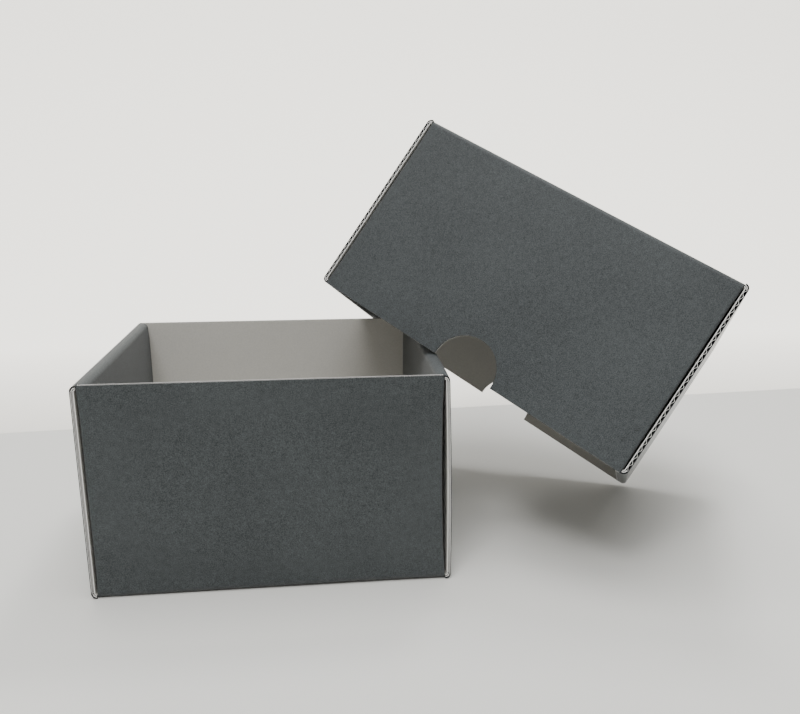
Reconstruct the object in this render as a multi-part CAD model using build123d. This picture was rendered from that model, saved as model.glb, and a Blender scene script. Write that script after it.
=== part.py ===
from build123d import *
import math
import os

# Archival storage box: a deep tray and a full-depth lid, each folded from one
# blank of corrugated board with rolled ends. Millimetres, +Z up, +X along the
# box's length, front at -Y. The origin is the centre of the tray's underside.

# Board and creases
BOARD = 1.7                 # thickness of the corrugated board
CREASE_RADIUS = 1.3         # outside rounding of every crease
ROLL_GAP = 0.15             # play at the two creases of a rolled rim

# Tray, outside sizes
TRAY_LENGTH = 150.0
TRAY_DEPTH = 120.0
TRAY_HEIGHT = 92.0

# Play between the layers of a rolled end
SIDE_GAP = 0.6              # end wall to corner flap
LAYER_GAP = 0.3             # corner flap to inner wall
INNER_SIDE_GAP = 0.4        # inner wall to front or back wall, each end
FLOOR_GAP = 0.3             # inner wall to base panel
FLAP_GAP = 0.4              # corner flap to base panel and to rim
FLAP_SPACE = 16.6           # open space between the two flaps of one end

# Lid
LID_FIT = 1.0               # play between closed lid and tray, each side
LID_RAISE = 0.7             # how far a closed lid's rim stays above the table
NOTCH_RADIUS = 15.0         # thumb notch in the lid's front and back walls
NOTCH_NECK = 1.0            # straight length between notch round and edge

# Lid taken off and leaning over the tray's right rear corner
LEAN_BEHIND_FRONT = 35.7    # notch corner on the right rim, from the tray's front
LEAN_RIM_INSET = 1.5        # notch corner's distance inside the rim's outer edge
LEAN_FROM_END = 23.1        # lid's left rim on the back wall, from the right end
SEAT_GAP = 0.3              # play at each of the lid's three supports

END_THICKNESS = 3 * BOARD + SIDE_GAP + LAYER_GAP
LID_LENGTH = TRAY_LENGTH + 2 * (LID_FIT + END_THICKNESS)
LID_DEPTH = TRAY_DEPTH + 2 * (LID_FIT + BOARD)
LID_HEIGHT = TRAY_HEIGHT + BOARD - LID_RAISE


def slab(x0, x1, y0, y1, z0, z1):
    """A box given by its limits along X, Y and Z."""
    middle = Location(((x0 + x1) / 2, (y0 + y1) / 2, (z0 + z1) / 2))
    return middle * Box(x1 - x0, y1 - y0, z1 - z0)


def edges_at(solid, axis, **limits):
    """The straight edges along an axis whose middle lies at the given place."""
    found = solid.edges().filter_by(axis)
    for name, value in limits.items():
        found = found.filter_by(lambda e, n=name, v=value: abs(getattr(e.center(), n) - v) < 0.01)
    return found


def base_panel(length, depth):
    """The panel between the four walls."""
    half_x = length / 2 - BOARD
    half_y = depth / 2 - BOARD
    return slab(-half_x, half_x, -half_y, half_y, 0, BOARD)


def long_wall(length, depth, height, notched):
    """The wall at -Y, with its base and flap creases and any thumb notch."""
    half_x = length / 2 - BOARD - SIDE_GAP
    wall = slab(-half_x, half_x, -depth / 2, -depth / 2 + BOARD, 0, height)
    creases = edges_at(wall, Axis.X, Y=-depth / 2, Z=0)
    for side in (-half_x, half_x):
        creases += edges_at(wall, Axis.Z, X=side, Y=-depth / 2)
    wall = fillet(creases, CREASE_RADIUS)
    if notched:
        centre_z = height - NOTCH_NECK
        across = Rot(90, 0, 0) * Cylinder(NOTCH_RADIUS, 4 * BOARD)
        wall -= Pos(0, -depth / 2, centre_z) * across
        reach = 2 * BOARD
        wall -= slab(-NOTCH_RADIUS, NOTCH_RADIUS, -depth / 2 - reach, -depth / 2 + reach,
                     centre_z, height + NOTCH_NECK)
    return wall


def corner_flap(length, depth, height):
    """The flap at the -X, -Y corner, held between the layers of that end."""
    x0 = -length / 2 + BOARD + SIDE_GAP
    y0 = -depth / 2 + BOARD
    y1 = -FLAP_SPACE / 2
    return slab(x0, x0 + BOARD, y0, y1, BOARD + FLAP_GAP, height - BOARD - FLAP_GAP)


def outer_end_wall(length, depth, height):
    """The outer layer of the end at -X, with its crease to the base."""
    top = height - BOARD - ROLL_GAP
    wall = slab(-length / 2, -length / 2 + BOARD, -depth / 2, depth / 2, 0, top)
    return fillet(edges_at(wall, Axis.Y, X=-length / 2, Z=0), CREASE_RADIUS)


def rim_strip(length, depth, height):
    """The strip that rolls over the top of the end at -X."""
    x0 = -length / 2
    half_y = depth / 2 - BOARD - INNER_SIDE_GAP
    strip = slab(x0, x0 + END_THICKNESS, -half_y, half_y, height - BOARD, height)
    strip += slab(x0, x0 + BOARD, -depth / 2, depth / 2, height - BOARD, height)
    creases = edges_at(strip, Axis.Y, X=x0, Z=height)
    creases += edges_at(strip, Axis.Y, X=x0 + END_THICKNESS, Z=height)
    return fillet(creases, CREASE_RADIUS)


def inner_end_wall(length, depth, height):
    """The inner layer of the end at -X, hanging from the rim strip."""
    x1 = -length / 2 + END_THICKNESS
    half_y = depth / 2 - BOARD - INNER_SIDE_GAP
    return slab(x1 - BOARD, x1, -half_y, half_y, BOARD + FLOOR_GAP, height - BOARD - ROLL_GAP)


def roll_end_shell(length, depth, height, notched):
    """All panels of one blank, open side up, keyed by their place."""
    front = long_wall(length, depth, height, notched)
    flap = corner_flap(length, depth, height)
    panels = {
        "base": base_panel(length, depth),
        "front_wall": front,
        "back_wall": mirror(front, Plane.XZ),
        "left_front_flap": flap,
        "left_back_flap": mirror(flap, Plane.XZ),
        "left_outer_wall": outer_end_wall(length, depth, height),
        "left_rim": rim_strip(length, depth, height),
        "left_inner_wall": inner_end_wall(length, depth, height),
    }
    for name in [name for name in panels if name.startswith("left_")]:
        panels[name.replace("left_", "right_")] = mirror(panels[name], Plane.YZ)
    return panels


def closed_lid():
    """The lid's panels upside down, with the top panel's outer face at Z = 0."""
    turned = {}
    swap = {"front": "back", "back": "front"}
    for name, panel in roll_end_shell(LID_LENGTH, LID_DEPTH, LID_HEIGHT, True).items():
        words = [swap.get(word, word) for word in name.replace("base", "top_panel").split("_")]
        turned["_".join(words)] = Rot(180, 0, 0) * panel
    return turned


def leaning_place():
    """The lid's place when it leans on the rim, the back wall and the table.

    Three points of the lid's open face are held: the front notch's left corner
    on the tray's right rim, the left rim's inner edge on the outer edge of the
    tray's back wall, both level with each other, and the rear right corner on
    the table.
    """
    notch_x = -NOTCH_RADIUS
    notch_y = -LID_DEPTH / 2 + BOARD
    edge_x = -LID_LENGTH / 2 + END_THICKNESS
    seat_z = TRAY_HEIGHT + SEAT_GAP
    on_rim = Vector(TRAY_LENGTH / 2 - LEAN_RIM_INSET, LEAN_BEHIND_FRONT - TRAY_DEPTH / 2, seat_z)
    on_wall = Vector(TRAY_LENGTH / 2 - LEAN_FROM_END, TRAY_DEPTH / 2, seat_z)

    # The level line through the two upper supports, in the lid's own directions.
    span = on_wall - on_rim
    level = span.normalized()
    level_x = (edge_x - notch_x) / span.length
    level_y = math.sqrt(1 - level_x ** 2)

    # The open face slopes down from that line until the foot meets the table.
    foot = (LID_LENGTH / 2 - notch_x) * level_y - (LID_DEPTH / 2 - notch_y) * level_x
    slope = math.asin((seat_z - SEAT_GAP) / foot)
    fall = Vector(level.Y * math.cos(slope), -level.X * math.cos(slope), -math.sin(slope))

    x_axis = level * level_x + fall * level_y
    y_axis = level * level_y - fall * level_x
    z_axis = x_axis.cross(y_axis)
    centre = on_rim - x_axis * notch_x - y_axis * notch_y + z_axis * LID_HEIGHT
    return Plane(origin=centre, x_dir=x_axis, z_dir=z_axis).location


os.makedirs("parts", exist_ok=True)
nodes = {}
for name, panel in roll_end_shell(TRAY_LENGTH, TRAY_DEPTH, TRAY_HEIGHT, False).items():
    nodes["tray_" + name] = panel
place = leaning_place()
for name, panel in closed_lid().items():
    nodes["lid_" + name] = place * panel

for name, solid in nodes.items():
    solid.label = name
    export_step(solid, f"parts/{name}.step")
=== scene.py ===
"""Archival storage box: an open tray with rolled ends and its full-depth lid, leaning on it."""

import logging
import math
from dataclasses import dataclass, field
from enum import Enum
from typing import Any, Callable, ClassVar, Iterator

import bmesh
import bpy
from mathutils import Matrix, Vector


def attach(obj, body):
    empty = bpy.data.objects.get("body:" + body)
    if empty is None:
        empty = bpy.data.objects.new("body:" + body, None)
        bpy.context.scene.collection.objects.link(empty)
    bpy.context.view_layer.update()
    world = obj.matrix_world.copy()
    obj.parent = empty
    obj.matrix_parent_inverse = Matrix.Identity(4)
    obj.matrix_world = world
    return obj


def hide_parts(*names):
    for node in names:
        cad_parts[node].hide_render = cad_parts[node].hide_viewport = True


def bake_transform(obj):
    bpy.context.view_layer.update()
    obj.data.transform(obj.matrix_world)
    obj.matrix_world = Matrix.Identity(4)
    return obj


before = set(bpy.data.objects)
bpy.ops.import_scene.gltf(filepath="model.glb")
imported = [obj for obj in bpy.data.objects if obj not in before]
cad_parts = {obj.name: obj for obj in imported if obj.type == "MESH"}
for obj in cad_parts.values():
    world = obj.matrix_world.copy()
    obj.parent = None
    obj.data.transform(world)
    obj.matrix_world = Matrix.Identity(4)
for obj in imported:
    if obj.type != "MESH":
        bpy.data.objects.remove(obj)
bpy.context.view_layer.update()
LOG = logging.getLogger("archival_box")
MM = 0.001


# ------------------------------ shader maths


class Value:
    """A shader socket that takes part in Python arithmetic through Math nodes."""

    def __init__(self, graph: "Graph", socket: bpy.types.NodeSocket) -> None:
        """Keeps the socket and the graph it belongs to."""
        self.graph = graph
        self.socket = socket

    def _math(self, operation: str, left: Any, right: Any) -> "Value":
        """One Math node on two operands, each a Value or a number."""
        node = self.graph.node("ShaderNodeMath", {"operation": operation}, {0: left, 1: right})
        return Value(self.graph, node.outputs[0])

    def __add__(self, other: Any) -> "Value":
        """self + other."""
        return self._math("ADD", self, other)

    def __radd__(self, other: Any) -> "Value":
        """other + self."""
        return self._math("ADD", other, self)

    def __sub__(self, other: Any) -> "Value":
        """self - other."""
        return self._math("SUBTRACT", self, other)

    def __rsub__(self, other: Any) -> "Value":
        """other - self."""
        return self._math("SUBTRACT", other, self)

    def __mul__(self, other: Any) -> "Value":
        """self * other."""
        return self._math("MULTIPLY", self, other)

    def __rmul__(self, other: Any) -> "Value":
        """other * self."""
        return self._math("MULTIPLY", other, self)

    def power(self, exponent: Any) -> "Value":
        """self raised to an exponent."""
        return self._math("POWER", self, exponent)

    def clamp(self) -> "Value":
        """self kept between 0 and 1."""
        node = self.graph.node("ShaderNodeClamp", {}, {"Value": self})
        return Value(self.graph, node.outputs[0])


class Graph:
    """A material's node tree, with one method that adds any node."""

    def __init__(self, name: str) -> None:
        """Starts a material with an empty tree.

        Args:
            name: the material's name.
        """
        self.material = bpy.data.materials.new(name)
        self.material.use_nodes = True
        self.tree = self.material.node_tree
        self.tree.nodes.clear()

    def node(self, kind: str, settings: dict[str, Any], sockets: dict[Any, Any]) -> bpy.types.Node:
        """Adds a node.

        Args:
            kind: the node's type.
            settings: properties set before any socket, such as a Math node's operation.
            sockets: what each input takes, by name or number: a Value, a socket or a constant.

        Returns:
            The new node.
        """
        node = self.tree.nodes.new(kind)
        for name, value in settings.items():
            setattr(node, name, value)
        for key, value in sockets.items():
            target = node.inputs[key]
            if isinstance(value, Value):
                self.tree.links.new(value.socket, target)
            elif isinstance(value, bpy.types.NodeSocket):
                self.tree.links.new(value, target)
            else:
                target.default_value = value
        return node

    def place(self) -> bpy.types.NodeSocket:
        """The piece's own coordinates in metres."""
        return self.node("ShaderNodeTexCoord", {}, {}).outputs["Object"]

    def noise(self, size: float, detail: float, rough: float = 0.5, distort: float = 0.0,
              stretch: tuple[float, float, float] = (1.0, 1.0, 1.0)) -> Value:
        """Noise whose blobs have a real size.

        Args:
            size: blob size in metres.
            detail: number of octaves.
            rough: strength of the finer octaves.
            distort: how much the pattern is warped.
            stretch: how much longer the blobs are along each axis.

        Returns:
            The noise, from 0 to 1.
        """
        scale = tuple(1.0 / s for s in stretch)
        mapping = self.node("ShaderNodeMapping", {}, {"Vector": self.place(), "Scale": scale})
        node = self.node("ShaderNodeTexNoise", {}, {
            "Vector": mapping.outputs[0], "Scale": 1.0 / size, "Detail": detail,
            "Roughness": rough, "Distortion": distort})
        return Value(self, node.outputs["Fac"])

    def facing(self) -> Value:
        """How far a surface is turned away from the eye: 0 face on, 1 edge on."""
        node = self.node("ShaderNodeLayerWeight", {}, {"Blend": 0.5})
        return Value(self, node.outputs["Facing"])

    def mix(self, factor: Any, first: Any, second: Any) -> bpy.types.NodeSocket:
        """A colour between two others."""
        node = self.node("ShaderNodeMix", {"data_type": "RGBA"}, {0: factor, 6: first, 7: second})
        return node.outputs[2]

    def bump(self, height: Value, distance: float, strength: float) -> bpy.types.NodeSocket:
        """A bumped normal from a height."""
        node = self.node("ShaderNodeBump", {}, {"Height": height, "Distance": distance,
                                                "Strength": strength})
        return node.outputs[0]

    def finish(self, sockets: dict[Any, Any]) -> bpy.types.Material:
        """Closes the tree with a Principled surface.

        Args:
            sockets: its inputs, as for node.

        Returns:
            The finished material.
        """
        surface = self.node("ShaderNodeBsdfPrincipled", {}, sockets)
        output = self.node("ShaderNodeOutputMaterial", {}, {})
        self.tree.links.new(surface.outputs[0], output.inputs[0])
        return self.material


# ------------------------------ finishes


@dataclass(frozen=True)
class Paper:
    """A matt paper with a fine fibre mottle.

    dark, light: linear colours at the mottle's ends. grain, contrast: its size in
    metres, and strength. fleck: strength of lighter fibres. tooth: height of the
    surface's tooth in metres. edge_gloss: how much smoother it looks edge on.
    """

    name: str
    dark: tuple[float, float, float]
    light: tuple[float, float, float]
    grain: float
    contrast: float
    fleck: float
    roughness: float
    sheen: float
    tooth: float
    edge_gloss: float = 0.0

    FELT_SIZE: ClassVar[float] = 5.0
    FELT_TONE: ClassVar[float] = 0.2
    CLOUD_SIZE: ClassVar[float] = 0.045
    CLOUD_TONE: ClassVar[float] = 0.3
    FIBRE_SIZE: ClassVar[float] = 0.8
    ROUGH_SPREAD: ClassVar[float] = 0.12
    GLOSS_FALL: ClassVar[float] = 8.0

    def material(self) -> bpy.types.Material:
        """Makes the paper's fibres, mottle and tooth.

        Returns:
            The paper as a procedural material.
        """
        g = Graph(self.name)
        fine = g.noise(self.grain, 3.0, 0.65)
        felt = g.noise(self.grain * self.FELT_SIZE, 2.0, 0.5, 0.6)
        cloud = g.noise(self.CLOUD_SIZE, 2.0, 0.5)
        fibres = self._fibres(g)
        felt_tone = (felt - 0.5) * (self.contrast * self.FELT_TONE)
        tone = (fine - 0.5) * self.contrast + felt_tone + 0.5
        tone = tone + (cloud - 0.5) * self.CLOUD_TONE + fibres * self.fleck
        colour = g.mix(tone.clamp(), (*self.dark, 1.0), (*self.light, 1.0))
        gloss = g.facing().power(self.GLOSS_FALL) * self.edge_gloss
        rough = (fine - 0.5) * self.ROUGH_SPREAD + self.roughness - gloss
        height = fine * 0.6 + felt * 0.25 + fibres * 0.15
        return g.finish({
            "Base Color": colour, "Roughness": rough,
            "Specular IOR Level": 0.4, "Sheen Weight": self.sheen, "Sheen Roughness": 0.45,
            "Normal": g.bump(height, self.tooth, 0.5)})

    def _fibres(self, g: Graph) -> Value:
        """Scattered long fibres, lying in two directions.

        Args:
            g: the material they belong to.

        Returns:
            The fibres' strength, from 0 to 2 where two cross.
        """
        size = self.grain * self.FIBRE_SIZE
        level, rise = 0.62, 5.0
        long_ways = g.noise(size, 1.0, 0.5, 1.2, (5.0, 1.0, 1.6))
        upright = g.noise(size, 1.0, 0.5, 1.2, (1.3, 1.6, 5.0))
        return ((long_ways - level) * rise).clamp() + ((upright - level) * rise).clamp()


GREY_LINER = Paper(
    "grey_liner", dark=(0.0042, 0.0062, 0.0074), light=(0.0970, 0.1100, 0.1135), grain=0.00036,
    contrast=2.0, fleck=0.26, roughness=0.70, sheen=0.10, tooth=0.00010, edge_gloss=0.5)
WHITE_LINER = Paper(
    "white_liner", dark=(0.585, 0.57, 0.525), light=(0.72, 0.702, 0.655), grain=0.0009,
    contrast=1.2, fleck=0.10, roughness=0.80, sheen=0.10, tooth=0.00004)
# Painted shade: the fluted paper is near black so that the open flute channels read as deep shade;
# its cut edges take the pale CUT_PAPER.
SHADED_FLUTE_PAPER = Paper(
    "flute_paper_painted_shade", dark=(0.045, 0.043, 0.040), light=(0.085, 0.082, 0.075), grain=0.0005,
    contrast=1.3, fleck=0.12, roughness=0.88, sheen=0.0, tooth=0.00004)
CUT_PAPER = Paper(
    "cut_paper_edge", dark=(0.86, 0.85, 0.82), light=(0.98, 0.975, 0.95), grain=0.0004,
    contrast=1.6, fleck=0.10, roughness=0.92, sheen=0.0, tooth=0.00006)
CUT_GREY = Paper(
    "cut_grey_edge", dark=(0.004, 0.0045, 0.007), light=(0.014, 0.015, 0.020), grain=0.0004,
    contrast=1.4, fleck=0.10, roughness=0.92, sheen=0.0, tooth=0.00006)


@dataclass(frozen=True)
class Plaster:
    """A plain pale surface of the surround.

    glow: how strongly it is lit from within. start, fade: where along Y that
    glow begins, and over what distance it grows to its full strength; short of
    that the weaker glow is painted shade, for the wall's shade behind the box.
    """

    name: str
    colour: tuple[float, float, float]
    roughness: float
    glow: float = 0.0
    start: float = 0.15
    fade: float = 0.25

    CLOUD_SIZE: ClassVar[float] = 0.25
    CLOUD_TONE: ClassVar[float] = 0.97
    SEAM_SHADE_GLOW: ClassVar[float] = 0.25

    def material(self) -> bpy.types.Material:
        """Makes a pale surface with a faint cloud in it.

        Returns:
            The material, lit from within where it glows.
        """
        g = Graph(self.name)
        cloud = g.noise(self.CLOUD_SIZE, 2.0)
        low = tuple(c * self.CLOUD_TONE for c in self.colour)
        # Painted shade: near the table the glow drops to a quarter, for the wall's shade behind the
        # box.
        painted_seam_shade = tuple(c * self.SEAM_SHADE_GLOW for c in self.colour)
        apart = g.node("ShaderNodeSeparateXYZ", {}, {0: g.place()})
        rise = ((Value(g, apart.outputs[1]) - self.start) * (1.0 / self.fade)).clamp()
        return g.finish({"Base Color": g.mix(cloud, (*low, 1.0), (*self.colour, 1.0)),
                         "Emission Color": g.mix(rise, (*painted_seam_shade, 1.0), (*self.colour, 1.0)),
                         "Emission Strength": self.glow,
                         "Roughness": self.roughness, "Specular IOR Level": 0.3})


PAPERS = (GREY_LINER, WHITE_LINER, SHADED_FLUTE_PAPER, CUT_PAPER, CUT_GREY)


class Layer(Enum):
    """The board's papers and their cut edges, as material numbers: the order of PAPERS."""

    GREY = 0
    WHITE = 1
    FLUTE = 2
    CUT = 3
    CUT_GREY = 4


# ------------------------------ mesh drafts


@dataclass
class Draft:
    """A piece's mesh while it is put together, in its shell's own directions."""

    bm: bmesh.types.BMesh = field(default_factory=bmesh.new)

    SHARP: ClassVar[float] = math.radians(40)

    def lattice(self, counts: tuple[int, int, int], place: Callable[[float, float, float], Vector],
                layer: Layer) -> None:
        """Adds a closed block whose surface is a grid bent to a place.

        Args:
            counts: number of steps along the block's three directions.
            place: gives a point for three fractions from 0 to 1.
            layer: the paper it is made of.
        """
        nx, ny, nz = counts
        made: dict[tuple[int, int, int], bmesh.types.BMVert] = {}

        def vert(i: int, j: int, k: int) -> bmesh.types.BMVert:
            """The vertex at a grid step, made once."""
            if (i, j, k) not in made:
                made[i, j, k] = self.bm.verts.new(place(i / nx, j / ny, k / nz))
            return made[i, j, k]

        quads: list[list[tuple[int, int, int]]] = []
        for i in range(nx):
            for j in range(ny):
                for k, flip in ((0, True), (nz, False)):
                    quad = [(i, j, k), (i + 1, j, k), (i + 1, j + 1, k), (i, j + 1, k)]
                    quads.append(quad[::-1] if flip else quad)
        for i in range(nx):
            for k in range(nz):
                for j, flip in ((0, False), (ny, True)):
                    quad = [(i, j, k), (i + 1, j, k), (i + 1, j, k + 1), (i, j, k + 1)]
                    quads.append(quad[::-1] if flip else quad)
        for j in range(ny):
            for k in range(nz):
                for i, flip in ((0, True), (nx, False)):
                    quad = [(i, j, k), (i, j + 1, k), (i, j + 1, k + 1), (i, j, k + 1)]
                    quads.append(quad[::-1] if flip else quad)
        corner, ends = place(0, 0, 0), [place(1, 0, 0), place(0, 1, 0), place(0, 0, 1)]
        arms = [end - corner for end in ends]
        inside_out = arms[0].cross(arms[1]).dot(arms[2]) < 0
        for quad in quads:
            corners = [vert(*step) for step in (quad[::-1] if inside_out else quad)]
            self.bm.faces.new(corners).material_index = layer.value

    def sheet(self, mesh: bpy.types.Mesh, matrix: Matrix, layer: Layer) -> None:
        """Adds a finished mesh, turned into the shell's directions.

        Args:
            mesh: the mesh to add, which is left as it is.
            matrix: from the mesh's directions to the shell's.
            layer: the paper it is made of.
        """
        before = set(self.bm.faces)
        self.bm.from_mesh(mesh)
        faces = [f for f in self.bm.faces if f not in before]
        verts = list({v for f in faces for v in f.verts})
        bmesh.ops.transform(self.bm, matrix=matrix, verts=verts)
        if matrix.determinant() < 0:
            bmesh.ops.reverse_faces(self.bm, faces=faces)
        for face in faces:
            face.material_index = layer.value

    def show_cuts(self, cut: Callable[[Vector], bool]) -> None:
        """Gives the cut paper's finish to every cut edge.

        Args:
            cut: tells from a face's normal whether it is a cut edge.
        """
        self.bm.normal_update()
        for face in self.bm.faces:
            if face.material_index <= Layer.FLUTE.value and cut(face.normal):
                grey = face.material_index == Layer.GREY.value
                face.material_index = (Layer.CUT_GREY if grey else Layer.CUT).value

    def show_hidden(self, inward: Callable[[Vector], bool]) -> None:
        """Gives the fluting's dark finish to the white liner's glued side: painted shade inside the
        open flute channels.

        Args:
            inward: tells from a face's normal whether it is the glued side.
        """
        self.bm.normal_update()
        for face in self.bm.faces:
            if face.material_index == Layer.WHITE.value and inward(face.normal):
                face.material_index = Layer.FLUTE.value

    def piece(self, name: str, matrix: Matrix, bow: Callable[[Vector], Vector],
              papers: list[bpy.types.Material]) -> bpy.types.Object:
        """Turns the draft into an object at the origin.

        Args:
            name: the piece's name.
            matrix: from the shell's directions to the frame.
            bow: moves a point to where the slightly bowed board has it.
            papers: materials in the order of Layer.

        Returns:
            The new object.
        """
        for vertex in self.bm.verts:
            vertex.co = matrix @ bow(vertex.co)
        self.bm.normal_update()
        for edge in self.bm.edges:
            edge.smooth = edge.is_manifold and edge.calc_face_angle(0.0) < self.SHARP
        for face in self.bm.faces:
            face.smooth = True
        mesh = bpy.data.meshes.new(name)
        self.bm.to_mesh(mesh)
        self.bm.free()
        for paper in papers:
            mesh.materials.append(paper)
        mesh.validate()
        item = bpy.data.objects.new(name, mesh)
        bpy.context.scene.collection.objects.link(item)
        return item


# ------------------------------ corrugated board


@dataclass(frozen=True)
class Board:
    """Corrugated board: two liners with a fluted paper between them.

    liner, paper: thickness of a liner and of the fluted paper. crushed: what is
    left of the flutes in a crease. pitch: from flute to flute. play: between
    fluted paper and liner. row: longest straight run of the mesh along a flute.
    """

    thickness: float
    liner: float = 0.32 * MM
    paper: float = 0.18 * MM
    crushed: float = 0.34 * MM
    pitch: float = 3.4 * MM
    play: float = 0.01 * MM
    row: float = 12.0 * MM

    @property
    def wave(self) -> float:
        """Overall height of the fluted paper."""
        return self.thickness - 2 * (self.liner + self.play)


class FluteTree:
    """The node group that makes a fluted paper of any size.

    STEPS: faces to one wave. WELD: distance within which its two sides are joined.
    """

    INPUTS = (("Across", "NodeSocketFloat"), ("Along", "NodeSocketFloat"),
              ("Row", "NodeSocketFloat"), ("Pitch", "NodeSocketFloat"),
              ("Wave", "NodeSocketFloat"), ("Paper", "NodeSocketFloat"),
              ("Shift", "NodeSocketFloat"), ("Material", "NodeSocketMaterial"))
    STEPS = 10
    WELD = 0.001 * MM

    def __init__(self) -> None:
        """Builds the group once."""
        self.group = bpy.data.node_groups.new("fluted_paper", "GeometryNodeTree")
        self.sockets: dict[str, str] = {}
        face = self.group.interface
        for name, kind in self.INPUTS:
            self.sockets[name] = face.new_socket(name, in_out="INPUT", socket_type=kind).identifier
        face.new_socket("Geometry", in_out="OUTPUT", socket_type="NodeSocketGeometry")
        self._wire()

    def _node(self, kind: str, settings: dict[str, Any], sockets: dict[Any, Any]) -> bpy.types.Node:
        """Adds a node, its settings first and then its inputs.

        Args:
            kind: the node's type.
            settings: properties of the node.
            sockets: a socket or a constant for each input, by name or number.

        Returns:
            The new node.
        """
        node = self.group.nodes.new(kind)
        for name, value in settings.items():
            setattr(node, name, value)
        for key, value in sockets.items():
            if isinstance(value, bpy.types.NodeSocket):
                self.group.links.new(value, node.inputs[key])
            else:
                node.inputs[key].default_value = value
        return node

    def _math(self, operation: str, first: Any, second: Any = 0.0) -> bpy.types.NodeSocket:
        """One Math node's result."""
        node = self._node("ShaderNodeMath", {"operation": operation}, {0: first, 1: second})
        return node.outputs[0]

    def _wire(self) -> None:
        """Grid, wave, thickness, then a closed sheet with its material."""
        given = self.group.nodes.new("NodeGroupInput").outputs
        flutes = self._math("DIVIDE", given["Across"], given["Pitch"])
        steps = self._math("CEIL", self._math("MULTIPLY", flutes, float(self.STEPS)))
        rows = self._math("CEIL", self._math("DIVIDE", given["Along"], given["Row"]))
        grid = self._node("GeometryNodeMeshGrid", {}, {
            "Size X": given["Across"], "Size Y": given["Along"],
            "Vertices X": self._math("ADD", steps, 1.0),
            "Vertices Y": self._math("ADD", rows, 1.0)})
        position = self._node("GeometryNodeInputPosition", {}, {}).outputs[0]
        apart = self._node("ShaderNodeSeparateXYZ", {}, {0: position})
        turns = self._math("DIVIDE", apart.outputs[0], given["Pitch"])
        angle = self._math("MULTIPLY", self._math("ADD", turns, given["Shift"]), math.tau)
        swing = self._math("MULTIPLY", self._math("SUBTRACT", given["Wave"], given["Paper"]), 0.5)
        rise = self._math("MULTIPLY", self._math("SINE", angle), swing)
        half = self._math("MULTIPLY", given["Paper"], 0.5)
        low = self._math("SUBTRACT", rise, half)
        offset = self._node("ShaderNodeCombineXYZ", {}, {2: low}).outputs[0]
        waved = self._node("GeometryNodeSetPosition", {}, {0: grid.outputs[0], "Offset": offset})
        up = self._node("ShaderNodeCombineXYZ", {}, {2: given["Paper"]}).outputs[0]
        thick = self._node("GeometryNodeExtrudeMesh", {"mode": "FACES"}, {
            0: waved.outputs[0], "Offset": up, "Offset Scale": 1.0, "Individual": False})
        under = self._node("GeometryNodeFlipFaces", {}, {0: waved.outputs[0]})
        joined = self.group.nodes.new("GeometryNodeJoinGeometry")
        self.group.links.new(thick.outputs[0], joined.inputs[0])
        self.group.links.new(under.outputs[0], joined.inputs[0])
        closed = self._node("GeometryNodeMergeByDistance", {}, {
            0: joined.outputs[0], "Distance": self.WELD})
        real = self._node("GeometryNodeRealizeInstances", {}, {0: closed.outputs[0]})
        dressed = self._node("GeometryNodeSetMaterial", {}, {
            0: real.outputs[0], "Material": given["Material"]})
        output = self.group.nodes.new("NodeGroupOutput")
        self.group.links.new(dressed.outputs[0], output.inputs[0])

    def sheet(self, board: Board, across: float, along: float, outward: int,
              material: bpy.types.Material) -> bpy.types.Mesh:
        """A fluted paper lying in X and Y, its waves running across X.

        A whole number of waves fits, with a crest on the outer liner at each end.

        Args:
            board: gives pitch, wave height and paper thickness.
            across: size along X, over the flutes.
            along: size along Y, the flutes' own length.
            outward: 1 if the outer liner lies at +Z, -1 if at -Z.
            material: the paper.

        Returns:
            The sheet as a plain mesh.
        """
        host = bpy.data.objects.new("flute_host", bpy.data.meshes.new("flute_host"))
        bpy.context.scene.collection.objects.link(host)
        modifier = host.modifiers.new("flutes", "NODES")
        modifier.node_group = self.group
        waves = max(1, round(across / board.pitch))
        quarter = 0.25 * outward
        given = {"Across": across, "Along": along, "Row": board.row, "Pitch": across / waves,
                 "Wave": board.wave, "Paper": board.paper, "Shift": waves / 2 + quarter,
                 "Material": material}
        for name, value in given.items():
            modifier[self.sockets[name]] = value
        bpy.context.view_layer.update()
        ready = host.evaluated_get(bpy.context.evaluated_depsgraph_get())
        mesh = bpy.data.meshes.new_from_object(ready)
        bpy.data.objects.remove(host)
        return mesh


# ------------------------------ shells


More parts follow.
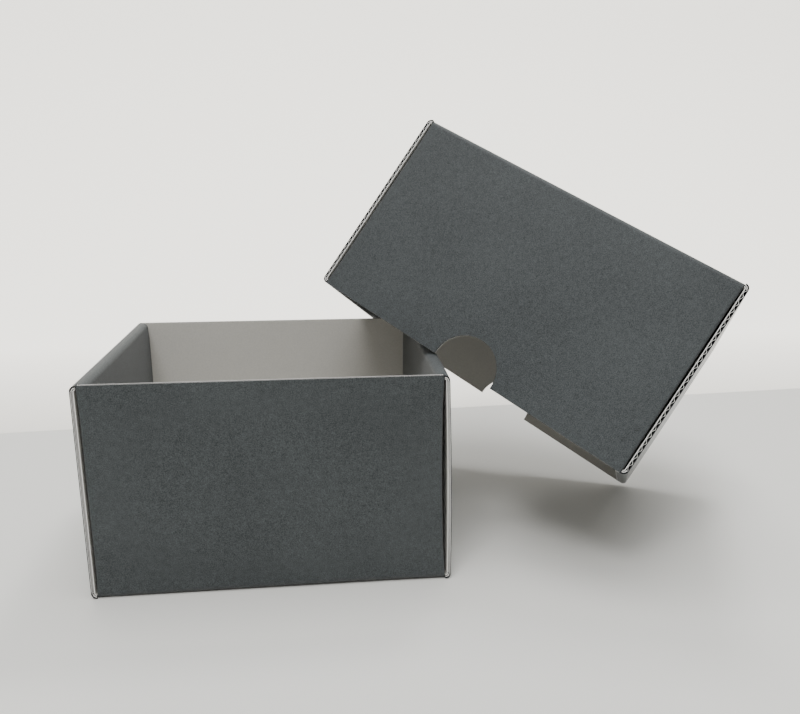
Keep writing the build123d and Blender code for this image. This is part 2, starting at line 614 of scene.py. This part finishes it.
@dataclass(frozen=True)
class Place:
    """A shell's own directions: X along its length, Z from its base panel to its open side."""

    matrix: Matrix

    @classmethod
    def upright(cls) -> "Place":
        """The frame's own directions."""
        return cls(Matrix.Identity(4))

    @classmethod
    def upside_down(cls, node: str) -> "Place":
        """The directions of a lid, read from its top panel's faces.

        Args:
            node: the top panel's node.

        Returns:
            The place, with its origin in the middle of the panel's outer face.
        """
        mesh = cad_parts[node].data
        sums: dict[tuple[float, ...], Vector] = {}
        for face in mesh.polygons:
            normal = face.normal if face.normal.z > 0 else -face.normal
            key = tuple(round(c, 2) for c in normal)
            sums[key] = sums.get(key, Vector((0, 0, 0))) + normal * face.area
        ranked = [v.normalized() for v in sorted(sums.values(), key=lambda v: -v.length)]
        up = ranked[0]
        deep = next(v for v in ranked[1:] if abs(v.dot(up)) < 0.1)
        deep = (deep - up * deep.dot(up)).normalized()
        deep = deep if deep.y > 0 else -deep
        long = deep.cross(up)
        turn = Matrix((long, -deep, -up)).transposed().to_4x4()
        spots = [turn.inverted() @ v.co for v in mesh.vertices]
        middle = [(min(s[i] for s in spots) + max(s[i] for s in spots)) / 2 for i in (0, 1)]
        outer = min(s.z for s in spots)
        return cls(turn @ Matrix.Translation((*middle, outer)))

    def extent(self, node: str) -> tuple[Vector, Vector]:
        """A node's lowest and highest corners in these directions.

        Args:
            node: the CAD node.

        Returns:
            The two corners of its box.
        """
        back = self.matrix.inverted()
        spots = [back @ v.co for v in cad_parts[node].data.vertices]
        low = Vector([min(s[i] for s in spots) for i in range(3)])
        high = Vector([max(s[i] for s in spots) for i in range(3)])
        return low, high


class Flutes(Enum):
    """Which way a blank's flutes run when it lies flat."""

    ALONG_LENGTH = 0
    ALONG_DEPTH = 1


@dataclass
class Panel:
    """One flat panel of a blank, between its creases.

    node: its CAD node, without the shell's prefix. low, high: its corners.
    across: axis through its thickness. outward: 1 if its grey side faces up that
    axis, -1 if down. flute_axis: axis of its flutes. slot: its slot name, not used.
    """

    node: str
    low: Vector
    high: Vector
    across: int
    outward: int
    flute_axis: int
    slot: str

    def trimmed(self, axis: int, low: float = 0.0, high: float = 0.0) -> "Panel":
        """Draws the panel's ends in to make room for the creases.

        Args:
            axis: the axis it is shortened along.
            low, high: how much goes from its low and its high end.

        Returns:
            The panel itself.
        """
        self.low[axis] += low
        self.high[axis] -= high
        return self


@dataclass
class Bend:
    """A folded crease, swept in a straight line between two panels.

    corner: the outer corner that the fold rounds off. first, second: directions
    from the corner into the two panels. along: axis of the crease. start, stop:
    its ends on that axis. radius: outside rounding of the fold. slot: its slot
    name, not used.
    """

    name: str
    corner: Vector
    first: Vector
    second: Vector
    along: int
    start: float
    stop: float
    radius: float
    slot: str


@dataclass
class Shell:
    """One folded blank with rolled ends: thirteen panels and their creases.

    front_sign: the side of Y that its front wall is on. moving: the body of each
    panel that moves on its own. left_bow, right_bow, wall_bow, inner_bow: belly
    of the outer end walls, the long walls and the inner end walls. gap_give: how
    far the ends of the long walls stand back, and right_give how much more at
    the right front corner, halfway up. twist: sideways turn of that corner.
    lift: rise of the front foot crease, fading out over lift_reach. grid: mesh
    size of the liners. fold_radius, corner_radius: outside rounding of the
    creases of base and rims, and of the upright ones.
    """

    prefix: str
    place: Place
    flutes: Flutes
    base_name: str
    board_slot: str
    front_sign: int
    body: str
    moving: dict[str, str]
    left_bow: float = 0.0
    right_bow: float = 0.7 * MM
    right_give: float = 0.0
    gap_give: float = 0.35 * MM
    wall_bow: float = 0.4 * MM
    inner_bow: float = 0.35 * MM
    twist: float = 0.0
    lift: float = 0.0
    lift_reach: float = 22.0 * MM
    grid: float = 6.0 * MM
    fold_radius: float = 2.3 * MM
    corner_radius: float = 0.9 * MM

    STIFF_FOLD: ClassVar[float] = 8.0 * MM
    FRONT_FROM: ClassVar[float] = 0.25
    GAP_FROM: ClassVar[float] = 0.85
    GAP_WIDTH: ClassVar[float] = 0.15
    EDGE_HOLD: ClassVar[float] = 0.3
    LIFT_MIDDLE: ClassVar[float] = 0.7
    LIFT_SLANT: ClassVar[float] = 0.6
    SLACK: ClassVar[float] = 0.05 * MM
    EDGE_SLACK: ClassVar[float] = 0.1 * MM

    def __post_init__(self) -> None:
        """Reads the shell's sizes from its CAD nodes."""
        base_low, base_high = self.extent(self.base_name)
        wall_low, wall_high = self.extent("front_wall")
        end_low, end_high = self.extent("left_outer_wall")
        rim_low, rim_high = self.extent("left_rim")
        self.board = Board(base_high.z - base_low.z)
        self.half_length = -end_low.x
        self.half_depth = end_high.y
        self.height = rim_high.z
        self.wall_half = wall_high.x
        self.rim_width = rim_high.x - rim_low.x
        LOG.info("%s shell %.1f x %.1f x %.1f mm", self.prefix, 2000 * self.half_length,
                 2000 * self.half_depth, 1000 * self.height)

    def extent(self, part: str) -> tuple[Vector, Vector]:
        """Corners of one of the shell's nodes in its own directions."""
        return self.place.extent(f"{self.prefix}_{part}")

    def bow(self, point: Vector) -> Vector:
        """Where a point lies on board that bellies and twists slightly between its creases.

        Args:
            point: a point of the straight board, in the shell's directions.

        Returns:
            The same point on the bowed board.
        """
        side = 1.0 if point.x > 0 else -1.0
        across, deep = abs(point.x), abs(point.y)
        u, v = min(1.0, across / self.half_length), min(1.0, deep / self.half_depth)
        w = max(0.0, min(1.0, point.z / self.height))
        belly = math.sin(math.pi * w)
        forward = self.front_sign * point.y
        front = max(0.0, (forward / self.half_depth - self.FRONT_FROM) / (1 - self.FRONT_FROM))
        moved = point.copy()
        long_wall = deep > self.half_depth - self.board.thickness - self.SLACK
        inner_face = self.half_length - self.rim_width
        if across > self.wall_half + self.EDGE_SLACK:
            give = self.right_bow if side > 0 else self.left_bow
            moved.x += side * give * belly * (1 - self.EDGE_HOLD * v * v)
        else:
            near = (across - self.GAP_FROM * inner_face) / (self.GAP_WIDTH * inner_face)
            give = self.gap_give + (self.right_give * front if side > 0 else 0.0) * belly
            moved.x -= side * give * self._fold_ramp(point.z) * max(0.0, min(1.0, near))
            if not long_wall and across > inner_face - self.SLACK:
                moved.x -= side * self.inner_bow * belly * (1 - v * v)
        if side > 0:
            moved.x += self.twist * front ** 2 * u ** 3 * (1 - 2 * w)
        slant = max(0.0, min(1.0, self.LIFT_MIDDLE + self.LIFT_SLANT * side * u))
        rise = max(0.0, 1 - point.z / self.lift_reach) * slant
        edge = max(0.0, 1 - (self.half_depth - forward) / self.lift_reach)
        moved.z += self.lift * rise * edge ** 2 * (1 - u ** 6)
        if long_wall and across < self.wall_half + self.EDGE_SLACK:
            moved.y += math.copysign(self.wall_bow * belly * (1 - u * u), point.y)
        return moved

    def _fold_ramp(self, z: float) -> float:
        """How free a wall is at a height from the folds below and above it.

        Args:
            z: the height.

        Returns:
            0 at a fold, 1 from STIFF_FOLD away.
        """
        below = (z - self.fold_radius) / self.STIFF_FOLD
        above = (self.height - self.fold_radius - z) / self.STIFF_FOLD
        return max(0.0, min(1.0, below, above))

    def panels(self) -> Iterator[Panel]:
        """Goes through the blank's panels.

        Yields:
            Each panel, drawn in where a crease begins.
        """
        r, c = self.fold_radius, max(self.corner_radius, self.board.thickness)
        lengthwise = self.flutes is Flutes.ALONG_LENGTH
        low, high = self.extent(self.base_name)
        base = Panel(self.base_name, low, high, 2, -1, 0 if lengthwise else 1, self.board_slot)
        base.low.x, base.high.x = -self.half_length + r, self.half_length - r
        base.low.y, base.high.y = -self.half_depth + r, self.half_depth - r
        yield base
        for name, sign in (("front", self.front_sign), ("back", -self.front_sign)):
            low, high = self.extent(f"{name}_wall")
            along = 0 if lengthwise else 2
            wall = Panel(f"{name}_wall", low, high, 1, sign, along, self.board_slot)
            yield wall.trimmed(0, c, c).trimmed(2, r, 0)
            for side, end in (("left", -1), ("right", 1)):
                low, high = self.extent(f"{side}_{name}_flap")
                yield Panel(f"{side}_{name}_flap", low, high, 0, end, 1 if lengthwise else 2,
                            "flap_board")
        for side, end in (("left", -1), ("right", 1)):
            upright = 2 if lengthwise else 1
            low, high = self.extent(f"{side}_outer_wall")
            outer = Panel(f"{side}_outer_wall", low, high, 0, end, upright, self.board_slot)
            outer.high.z = self.height
            yield outer.trimmed(2, r, r)
            low, high = self.extent(f"{side}_rim")
            inset = self.extent(f"{side}_inner_wall")
            rim = Panel(f"{side}_rim", low, high, 2, 1, 0 if lengthwise else 1, "rolled_end_board")
            rim.low.y, rim.high.y = inset[0].y, inset[1].y
            yield rim.trimmed(0, r, r)
            low, high = inset
            inner = Panel(f"{side}_inner_wall", low, high, 0, -end, upright, "rolled_end_board")
            inner.high.z = self.height
            yield inner.trimmed(2, 0, r)

    def bends(self) -> Iterator[Bend]:
        """Goes through the blank's creases.

        Yields:
            Each crease, as folded.
        """
        hx, hy, top = self.half_length, self.half_depth, self.height
        wx, r, c = self.wall_half, self.fold_radius, self.corner_radius
        tuck = 0.3 * MM
        for name, sign in (("front", self.front_sign), ("back", -self.front_sign)):
            yield Bend(f"{name}_foot", Vector((0, sign * hy, 0)), Vector((0, -sign, 0)),
                       Vector((0, 0, 1)), 0, -wx + tuck, wx - tuck, r, self.board_slot)
            for side, end in (("left", -1), ("right", 1)):
                yield Bend(f"{side}_{name}_corner", Vector((end * wx, sign * hy, 0)),
                           Vector((-end, 0, 0)), Vector((0, -sign, 0)), 2, r, top, c,
                           "flap_board")
        for side, end in (("left", -1), ("right", 1)):
            yield Bend(f"{side}_foot", Vector((end * hx, 0, 0)), Vector((-end, 0, 0)),
                       Vector((0, 0, 1)), 1, -hy, hy, r, self.board_slot)
            yield Bend(f"{side}_outer_roll", Vector((end * hx, 0, top)), Vector((0, 0, -1)),
                       Vector((-end, 0, 0)), 1, -hy, hy, r, "rolled_end_board")
            inner = self.extent(f"{side}_inner_wall")
            yield Bend(f"{side}_inner_roll", Vector((end * (hx - self.rim_width), 0, top)),
                       Vector((end, 0, 0)), Vector((0, 0, -1)), 1, inner[0].y, inner[1].y, r,
                       "rolled_end_board")

    def draft_panel(self, panel: Panel, tree: FluteTree, papers: list[bpy.types.Material]) -> Draft:
        """The liners and the fluted paper of one panel.

        Args:
            panel: the panel.
            tree: makes its fluted paper.
            papers: materials in the order of Layer.

        Returns:
            Its three layers, with any thumb notch cut and the raw edges marked.
        """
        draft = Draft()
        low, high, n = panel.low, panel.high, panel.across
        flat = [axis for axis in range(3) if axis != n]
        counts = [1, 1, 1]
        for axis in flat:
            counts[axis] = max(1, round((high[axis] - low[axis]) / self.grid))
        outer_at_high = panel.outward > 0
        for layer, at_high in ((Layer.GREY, outer_at_high), (Layer.WHITE, not outer_at_high)):
            a, b = low.copy(), high.copy()
            if at_high:
                a[n] = high[n] - self.board.liner
            else:
                b[n] = low[n] + self.board.liner
            draft.lattice(tuple(counts), self._box(a, b), layer)
        along = panel.flute_axis
        over = next(axis for axis in flat if axis != along)
        mesh = tree.sheet(self.board, high[over] - low[over], high[along] - low[along],
                          panel.outward, papers[Layer.FLUTE.value])
        turn = Matrix.Identity(4)
        middle = (low + high) / 2
        for column, axis in enumerate((over, along, n)):
            for row in range(3):
                turn[row][column] = 1.0 if row == axis else 0.0
        turn.translation = middle
        draft.sheet(mesh, turn, Layer.FLUTE)
        bpy.data.meshes.remove(mesh)
        if self.prefix == "lid" and panel.node in ("front_wall", "back_wall"):
            draft = self.notched(draft, panel.node)
        draft.show_hidden(lambda normal: normal[n] * panel.outward > 0.5)
        end_on = n == 0 and self.flutes is Flutes.ALONG_LENGTH
        steepest = 0.97 if end_on else 0.3
        draft.show_cuts(lambda normal: abs(normal[n]) < steepest)
        return draft

    @staticmethod
    def _box(low: Vector, high: Vector) -> Callable[[float, float, float], Vector]:
        """Maps three fractions to a point of a box."""
        return lambda u, v, w: Vector((low.x + u * (high.x - low.x), low.y + v * (high.y - low.y),
                                       low.z + w * (high.z - low.z)))

    def draft_bend(self, bend: Bend) -> Draft:
        """The folded liners of one crease and the crushed flutes between them.

        Args:
            bend: the crease.

        Returns:
            Its three layers. Where the fold is tighter than the board is thick,
            each layer runs straight, round and straight again.
        """
        draft = Draft()
        thick, r = self.board.thickness, bend.radius
        reach, arc = max(r, thick), 8
        core = thick / 2
        rings = ((Layer.GREY, 0.0, self.board.liner),
                 (Layer.FLUTE, core - self.board.crushed / 2, core + self.board.crushed / 2),
                 (Layer.WHITE, thick - self.board.liner, thick))
        steps = max(1, round((bend.stop - bend.start) / self.grid))

        def profile(station: int, depth: float) -> Vector:
            """A point of the fold, in the plane across it.

            Args:
                station: step round the fold.
                depth: depth under its outside.

            Returns:
                The point.
            """
            if station == 0:
                a, b = reach, depth
            elif station == arc + 2:
                a, b = depth, reach
            else:
                turn = (station - 1) / arc * math.pi / 2
                round_r = max(r - depth, 0.0)
                middle = max(r, depth)
                a, b = middle - round_r * math.sin(turn), middle - round_r * math.cos(turn)
            return bend.corner + bend.first * a + bend.second * b

        for layer, far, near in rings:
            def spot(u: float, v: float, w: float, far: float = far, near: float = near) -> Vector:
                """A point of the ring round the fold, along it and through the layer."""
                point = profile(round(u * (arc + 2)), far + (near - far) * w)
                point[bend.along] = bend.start + v * (bend.stop - bend.start)
                return point
            draft.lattice((arc + 2, steps, 1), spot, layer)
        bmesh.ops.remove_doubles(draft.bm, verts=draft.bm.verts, dist=1e-7)
        draft.show_cuts(lambda normal: abs(normal[bend.along]) > 0.9)
        return draft

    def notched(self, draft: Draft, name: str) -> Draft:
        """Cuts the thumb notch through a long wall's layers, as wide as the CAD wall's own.

        Args:
            draft: the whole wall.
            name: its node, without the shell's prefix.

        Returns:
            The wall with its notch.
        """
        low, high = self.extent(name)
        back = self.place.matrix.inverted()
        spots = [back @ v.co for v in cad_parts[f"{self.prefix}_{name}"].data.vertices]
        inner = [s for s in spots if abs(s.x) < 0.5 * self.half_length]
        radius = max(abs(s.x) for s in inner)
        centre = min(s.z for s in inner) + radius
        past = 3 * MM
        cutter = self._notch_cutter(radius, centre, low.y - past, high.y + past, high.z + past)
        whole = Draft()
        for layer in (Layer.GREY, Layer.WHITE, Layer.FLUTE):
            one = Draft(draft.bm.copy())
            spare = [f for f in one.bm.faces if f.material_index != layer.value]
            bmesh.ops.delete(one.bm, geom=spare, context="FACES")
            wall = one.piece("notch_layer", Matrix.Identity(4), lambda p: p, [])
            modifier = wall.modifiers.new("notch", "BOOLEAN")
            modifier.operation, modifier.solver, modifier.object = "DIFFERENCE", "EXACT", cutter
            bpy.context.view_layer.update()
            ready = wall.evaluated_get(bpy.context.evaluated_depsgraph_get())
            mesh = bpy.data.meshes.new_from_object(ready)
            whole.sheet(mesh, Matrix.Identity(4), layer)
            bpy.data.objects.remove(wall)
            bpy.data.meshes.remove(mesh)
        draft.bm.free()
        bpy.data.objects.remove(cutter)
        return whole

    @staticmethod
    def _notch_cutter(radius: float, centre: float, y0: float, y1: float,
                      top: float) -> bpy.types.Object:
        """A round-ended block that fills the notch and stands out on every open side.

        Args:
            radius: radius of the notch, and half its width.
            centre: height of the round's centre.
            y0, y1: the block's two sides.
            top: its upper end.

        Returns:
            The block, to be removed after use.
        """
        draft = Draft()
        steps = 64
        turns = [math.pi * (1 + i / steps) for i in range(steps + 1)]
        outline = [(radius * math.cos(t), centre + radius * math.sin(t)) for t in turns]
        outline = [(-radius, top), *outline, (radius, top)]
        near = [draft.bm.verts.new((x, y0, z)) for x, z in outline]
        far = [draft.bm.verts.new((x, y1, z)) for x, z in outline]
        draft.bm.faces.new(near)
        draft.bm.faces.new(far[::-1])
        for i in range(len(outline)):
            draft.bm.faces.new((near[i - 1], near[i], far[i], far[i - 1]))
        bmesh.ops.recalc_face_normals(draft.bm, faces=draft.bm.faces)
        return draft.piece("notch_cutter", Matrix.Identity(4), lambda p: p, [])

    def build(self, tree: FluteTree, papers: list[bpy.types.Material]) -> None:
        """Makes every panel and crease and fixes each to its body, save the creases between two
        moving bodies.

        Args:
            tree: makes the fluted papers.
            papers: materials in the order of Layer.
        """
        for panel in self.panels():
            node = f"{self.prefix}_{panel.node}"
            draft = self.draft_panel(panel, tree, papers)
            piece = draft.piece(f"{node}_board", self.place.matrix, self.bow, papers)
            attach(piece, self.moving.get(panel.node, self.body))
            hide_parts(node)
            LOG.info("%s: %d faces", piece.name, len(piece.data.polygons))
        for bend in self.bends():
            draft = self.draft_bend(bend)
            name = f"{self.prefix}_{bend.name}_crease"
            piece = draft.piece(name, self.place.matrix, self.bow, papers)
            self.attach_bend(piece, bend)
            LOG.info("%s: %d faces", piece.name, len(piece.data.polygons))

    def attach_bend(self, piece: bpy.types.Object, bend: Bend) -> None:
        """Fixes a crease to its body, or leaves one between two moving bodies baked in place, fixed
        to none.

        Args:
            piece: the crease's object.
            bend: what it was made from.
        """
        side, _, kind = bend.name.partition("_")
        rim, inner = self.moving.get(f"{side}_rim"), self.moving.get(f"{side}_inner_wall")
        joined = {"outer_roll": (self.body, rim), "inner_roll": (rim, inner)}
        first, second = joined.get(kind, (None, None))
        if not second:
            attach(piece, self.body)
            return
        start = bend.corner + bend.first * bend.radius
        end = bend.corner + bend.second * bend.radius
        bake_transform(piece)


# ------------------------------ surround


@dataclass(frozen=True)
class Lamp:
    """A square area light. offset: its place, from the point that it is aimed at."""

    name: str
    offset: tuple[float, float, float]
    size: float
    power: float


LAMPS = (
    Lamp("lamp", (-0.48, -0.85, 1.55), size=0.45, power=9.2),
    Lamp("front_lamp", (0.0, -0.93, 1.55), size=0.6, power=6.8),
    Lamp("ceiling_lamp", (0.0, 0.0, 1.6), size=1.0, power=15.0),
    Lamp("back_lamp", (0.36, 0.70, 1.40), size=0.3, power=7.0),
)


@dataclass
class Studio:
    """Table, backdrop, lights and camera.

    eye: the camera's place. heading, dip, roll: its turns to the right, down and
    about its own view, in degrees. lens, sensor: focal length and sensor width
    in mm. reach: half the width of table and backdrop. rear_edge, slant: where
    the table ends behind the origin, and how far that edge draws back to the
    right. curve_start, curve: where the backdrop starts to rise, and its radius.
    room_light: strength of the light from all round. aim: what the lamps face.
    """

    eye: tuple[float, float, float] = (0.01993, -0.35293, 0.17548)
    heading: float = 6.521
    dip: float = 14.322
    roll: float = 0.148
    lens: float = 34.1955
    sensor: float = 36.0
    reach: float = 6.0
    rear_edge: float = 0.1671
    slant: float = 0.0707
    curve_start: float = 0.45
    curve: float = 0.4
    room_light: float = 0.34
    aim: tuple[float, float, float] = (0.08, 0.0, 0.05)

    def camera(self) -> None:
        """A camera in front of the box, looking slightly down on it."""
        data = bpy.data.cameras.new("camera")
        data.sensor_width = self.sensor
        data.lens = self.lens
        item = bpy.data.objects.new("camera", data)
        bpy.context.scene.collection.objects.link(item)
        turn = (Matrix.Rotation(-math.radians(self.heading), 4, "Z")
                @ Matrix.Rotation(math.radians(90 - self.dip), 4, "X")
                @ Matrix.Rotation(math.radians(self.roll), 4, "Z"))
        item.matrix_world = Matrix.Translation(self.eye) @ turn
        bpy.context.scene.camera = item

    def surround(self) -> None:
        """A pale table, and behind it a backdrop that curves up into a pale wall."""
        table = Plaster("table_top", (0.89, 0.885, 0.845), 0.6).material()
        # The backdrop glows from within, with painted shade where it meets the table.
        paper = Plaster("backdrop_paper", (0.90, 0.875, 0.805), 0.8, 1.75).material()
        ends = (-self.reach, self.reach)
        edge = [Vector((x, self.rear_edge + self.slant * x, 0.0)) for x in ends]
        near = [Vector((x, -self.reach, 0.0)) for x in ends]
        self._sweep("table", [near[0], edge[0]], [near[1], edge[1]], table)
        steps = 24
        turns = [math.pi / 2 * i / steps for i in range(steps + 1)]
        rise = [Vector((0, self.curve_start + self.curve * math.sin(a),
                        self.curve - self.curve * math.cos(a))) for a in turns]
        rise.append(Vector((0, self.curve_start + self.curve, self.reach)))
        left = [edge[0], *(p - Vector((self.reach, 0, 0)) for p in rise)]
        right = [edge[1], *(p + Vector((self.reach, 0, 0)) for p in rise)]
        self._sweep("backdrop", left, right, paper, lit_only=True)

    def _sweep(self, name: str, left: list[Vector], right: list[Vector],
               material: bpy.types.Material, lit_only: bool = False) -> None:
        """A surface of the surround, ruled between two lines of points, just below them.

        Args:
            name: the surface's name.
            left, right: points along its two sides.
            material: its finish.
            lit_only: whether it is left out of the light that falls on matt surfaces.
        """
        drop = Vector((0, 0, 0.2 * MM))
        count = len(left)
        mesh = bpy.data.meshes.new(name)
        mesh.from_pydata([p - drop for p in (*left, *right)], [],
                         [(i, i + count, i + count + 1, i + 1) for i in range(count - 1)])
        mesh.materials.append(material)
        for face in mesh.polygons:
            face.use_smooth = True
        item = bpy.data.objects.new(name, mesh)
        item.visible_diffuse = not lit_only
        bpy.context.scene.collection.objects.link(item)

    def light(self) -> None:
        """Soft lamps in front, overhead and behind, in a pale room."""
        world = bpy.data.worlds.new("room")
        world.use_nodes = True
        background = world.node_tree.nodes["Background"]
        background.inputs["Color"].default_value = (1.0, 0.992, 0.97, 1.0)
        background.inputs["Strength"].default_value = self.room_light
        bpy.context.scene.world = world
        for lamp in LAMPS:
            self._area(lamp)

    def _area(self, lamp: Lamp) -> None:
        """Adds one lamp.

        Args:
            lamp: its name, place, size in metres and power in watts.
        """
        aim = Vector(self.aim)
        spot = aim + Vector(lamp.offset)
        data = bpy.data.lights.new(lamp.name, "AREA")
        data.size = lamp.size
        data.energy = lamp.power
        item = bpy.data.objects.new(lamp.name, data)
        bpy.context.scene.collection.objects.link(item)
        item.matrix_world = (Matrix.Translation(spot)
                             @ (aim - spot).to_track_quat("-Z", "Y").to_matrix().to_4x4())


def main() -> None:
    """Builds tray, lid and studio, and notes each shell's size."""
    logging.basicConfig(level=logging.INFO, format="%(message)s")
    studio = Studio()
    studio.camera()
    studio.surround()
    studio.light()
    papers = [paper.material() for paper in PAPERS]
    tree = FluteTree()
    tray = Shell("tray", Place.upright(), Flutes.ALONG_LENGTH, "base", "tray_board", -1, "tray",
                 {"left_rim": "left_rim", "left_inner_wall": "left_inner"},
                 right_give=0.7 * MM, gap_give=0.45 * MM, twist=1.0 * MM, lift=0.6 * MM)
    tray.build(tree, papers)
    lid = Shell("lid", Place.upside_down("lid_top_panel"), Flutes.ALONG_DEPTH, "top_panel",
                "lid_board", 1, "lid", {}, right_bow=0.25 * MM, gap_give=0.3 * MM)
    lid.build(tree, papers)


if __name__ == "__main__":
    main()
